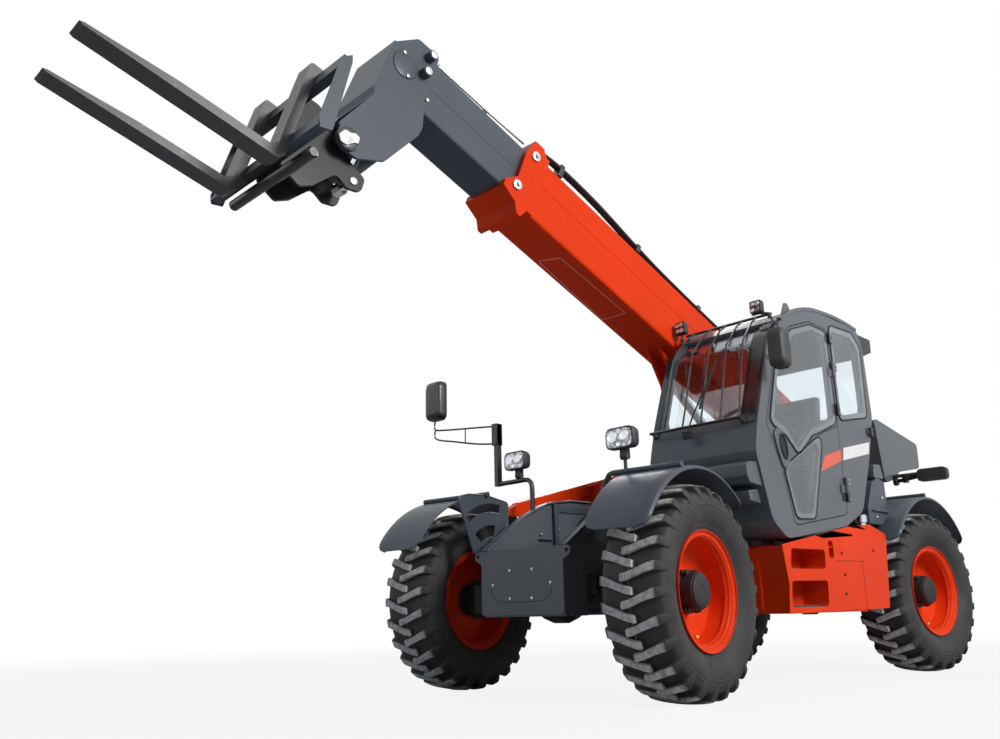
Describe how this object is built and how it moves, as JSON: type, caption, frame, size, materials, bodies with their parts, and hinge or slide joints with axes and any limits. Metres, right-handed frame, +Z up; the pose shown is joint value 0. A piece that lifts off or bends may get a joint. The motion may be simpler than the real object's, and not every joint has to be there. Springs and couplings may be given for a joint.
{
  "type": "telehandler",
  "caption": "Telescopic handler with four-wheel steering, a side cab, a two-section boom with a fork carriage, and a side engine pod with a lifting hood.",
  "frame": {"origin": "on the ground under the middle of the whole machine, forks included", "axes": "+X forward towards the fork tips, +Y to the machine's left (cab side), +Z up"},
  "size_m": [7.3549, 2.5, 3.9804],
  "materials": {
    "orange_paint": "smooth orange-red paint, satin",
    "grey_paint": "dark slate-grey paint, satin",
    "slate_paint": "dark grey paint with light wear",
    "black_plastic": "black moulded plastic",
    "black_steel": "black paint",
    "cast_iron": "painted dark castings",
    "tyre": "black rubber",
    "chrome": "hard chrome",
    "glass": "clear, faintly tinted"
  },
  "bodies": {
    "chassis": {"axle_front": "cast_iron", "axle_rear": "cast_iron", "cab_mirror": "black_plastic", "cab_shell": "grey_paint", "chassis_frame": "grey_paint", "counterweight": "grey_paint", "driver_seat": "black_plastic", "engine_block": "cast_iron", "engine_tray": "orange_paint", "fender_front_left": "grey_paint", "fender_front_right": "grey_paint", "fender_rear_left": "grey_paint", "fender_rear_right": "grey_paint", "front_plate": "grey_paint", "guard_grille": "black_steel", "headlamp_left": "black_plastic", "headlamp_right": "black_plastic", "mirror_post": "black_plastic", "quarter_glass": "glass", "rear_cover_left": "grey_paint", "rear_cover_right": "grey_paint", "rear_glass": "glass", "rear_lamp_left": "black_plastic", "rear_lamp_right": "black_plastic", "side_glass_right": "glass", "steering_console": "black_plastic", "step_tank": "orange_paint", "windscreen": "glass", "work_lamp_left": "black_plastic", "work_lamp_right": "black_plastic"},
    "knuckle_front_left": {"knuckle_front_left": "cast_iron"},
    "wheel_front_left": {"rim_front_left": "orange_paint", "tyre_front_left": "tyre"},
    "knuckle_front_right": {"knuckle_front_right": "cast_iron"},
    "wheel_front_right": {"rim_front_right": "orange_paint", "tyre_front_right": "tyre"},
    "knuckle_rear_left": {"knuckle_rear_left": "cast_iron"},
    "wheel_rear_left": {"rim_rear_left": "orange_paint", "tyre_rear_left": "tyre"},
    "knuckle_rear_right": {"knuckle_rear_right": "cast_iron"},
    "wheel_rear_right": {"rim_rear_right": "orange_paint", "tyre_rear_right": "tyre"},
    "boom": {"boom_outer": "orange_paint", "service_pipe": "black_steel"},
    "extension": {"boom_inner": "slate_paint", "boom_head": "slate_paint", "service_tube": "chrome"},
    "fork_carriage": {"carriage": "slate_paint", "fork_left": "slate_paint", "fork_right": "slate_paint"},
    "lift_barrel_body": {"lift_barrel": "black_steel"},
    "lift_rod_body": {"lift_rod": "chrome"},
    "tilt_barrel_body": {"tilt_barrel": "black_steel"},
    "tilt_rod_body": {"tilt_rod": "chrome"},
    "door": {"cab_door": "grey_paint", "door_glass_upper": "glass", "door_glass_lower": "glass"},
    "hood": {"engine_hood": "orange_paint"}
  },
  "joints": [
    {"name": "steer_front_left", "type": "hinge", "parent": "chassis", "child": "knuckle_front_left", "pos_m": [0.37, 0.775, 0.6], "axis": [0, 0, 1], "range_deg": [-41.5, 28.5]},
    {"name": "spin_front_left", "type": "hinge", "parent": "knuckle_front_left", "child": "wheel_front_left", "pos_m": [0.35189, 0.93397, 0.6], "axis": [-0.1132, 0.9936, 0], "continuous": true},
    {"name": "steer_front_right", "type": "hinge", "parent": "chassis", "child": "knuckle_front_right", "pos_m": [0.37, -0.775, 0.6], "axis": [0, 0, 1], "range_deg": [-41.5, 28.5]},
    {"name": "spin_front_right", "type": "hinge", "parent": "knuckle_front_right", "child": "wheel_front_right", "pos_m": [0.38811, -0.93397, 0.6], "axis": [-0.1132, 0.9936, 0], "continuous": true},
    {"name": "steer_rear_left", "type": "hinge", "parent": "chassis", "child": "knuckle_rear_left", "pos_m": [-2.72, 0.775, 0.6], "axis": [0, 0, 1], "range_deg": [-30, 40]},
    {"name": "spin_rear_left", "type": "hinge", "parent": "knuckle_rear_left", "child": "wheel_rear_left", "pos_m": [-2.70606, 0.93439, 0.6], "axis": [0.0872, 0.9962, 0], "continuous": true},
    {"name": "steer_rear_right", "type": "hinge", "parent": "chassis", "child": "knuckle_rear_right", "pos_m": [-2.72, -0.775, 0.6], "axis": [0, 0, 1], "range_deg": [-30, 40]},
    {"name": "spin_rear_right", "type": "hinge", "parent": "knuckle_rear_right", "child": "wheel_rear_right", "pos_m": [-2.73394, -0.93439, 0.6], "axis": [0.0872, 0.9962, 0], "continuous": true},
    {"name": "boom_lift", "type": "hinge", "parent": "chassis", "child": "boom", "pos_m": [-2.83, 0, 1.85], "axis": [0, -1, 0], "range_deg": [-29, 40]},
    {"name": "boom_extend", "type": "slide", "parent": "boom", "child": "extension", "axis": [0.9232, 0, 0.3843], "range_m": [0, 2.6]},
    {"name": "carriage_tilt", "type": "hinge", "parent": "extension", "child": "fork_carriage", "pos_m": [2.18658, 0, 3.08249], "axis": [0, 1, 0], "range_deg": [-26.7, 108]},
    {"name": "lift_barrel_swing", "type": "hinge", "parent": "chassis", "child": "lift_barrel_body", "pos_m": [-2.83, 0, 0.87], "axis": [0, -1, 0], "range_deg": [-21.5, 29.5]},
    {"name": "lift_rod_slide", "type": "slide", "parent": "lift_barrel_body", "child": "lift_rod_body", "axis": [0.8143, 0, 0.5805], "range_m": [-0.38, 0.53]},
    {"name": "tilt_barrel_swing", "type": "hinge", "parent": "extension", "child": "tilt_barrel_body", "pos_m": [1.70142, 0, 3.71458], "axis": [0, 1, 0], "range_deg": [-1, 1]},
    {"name": "tilt_rod_slide", "type": "slide", "parent": "tilt_barrel_body", "child": "tilt_rod_body", "axis": [0.4249, 0, -0.9052], "range_m": [-0.338, 0.0845]},
    {"name": "cab_door_hinge", "type": "hinge", "parent": "chassis", "child": "door", "pos_m": [-1.49943, 1.066, 1.7], "axis": [0, 0, 1], "range_deg": [0, 80]},
    {"name": "hood_hinge", "type": "hinge", "parent": "chassis", "child": "hood", "pos_m": [0.19, -0.532, 1.235], "axis": [-0.9681, 0, 0.2504], "range_deg": [0, 55]}
  ],
  "couplings": [
    {"joint": "steer_front_right", "follows": "steer_front_left", "ratio": 1},
    {"joint": "steer_rear_right", "follows": "steer_rear_left", "ratio": 1},
    {"joint": "lift_barrel_swing", "follows": "boom_lift", "ratio": 0.7334},
    {"joint": "lift_rod_slide", "follows": "boom_lift", "m_per_rad": 0.7465},
    {"joint": "tilt_barrel_swing", "follows": "carriage_tilt", "ratio": -0.0014},
    {"joint": "tilt_rod_slide", "follows": "carriage_tilt", "m_per_rad": -0.1787}
  ]
}
